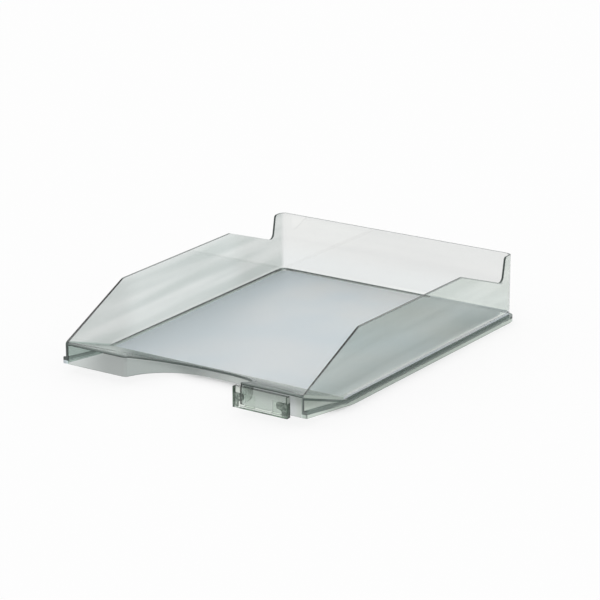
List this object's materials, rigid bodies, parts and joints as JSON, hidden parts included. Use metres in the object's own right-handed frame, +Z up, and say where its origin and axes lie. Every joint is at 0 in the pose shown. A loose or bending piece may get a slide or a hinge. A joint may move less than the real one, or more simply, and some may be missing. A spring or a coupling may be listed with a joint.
{
  "type": "letter tray",
  "caption": "Stackable clear letter tray with sloping side walls, a raised back, a wide finger cut-out in the front and a clip-on label holder with a lift-out window.",
  "frame": {"origin": "bottom centre of the box round the whole object, on the surface it stands on", "axes": "+Y from the front lip to the rear wall, +Z up, +X to the right as seen from the front"},
  "size_m": [0.2588, 0.346, 0.064],
  "materials": {
    "clear_smoke": "clear smoke-tinted polystyrene, polished, floor lightly frosted",
    "clear_holder": "clear tinted polystyrene, polished",
    "clear_window": "clear film, polished"
  },
  "bodies": {
    "tray": {"tray": "clear_smoke"},
    "holder": {"label_holder": "clear_holder"},
    "window": {"label_window": "clear_window"}
  },
  "joints": [
    {"name": "holder_slide", "type": "slide", "parent": "tray", "child": "holder", "axis": [1, 0, 0], "range_m": [-0.0025, 0.012]},
    {"name": "window_lift", "type": "slide", "parent": "holder", "child": "window", "axis": [0, 0, 1], "range_m": [0, 0.011]}
  ]
}
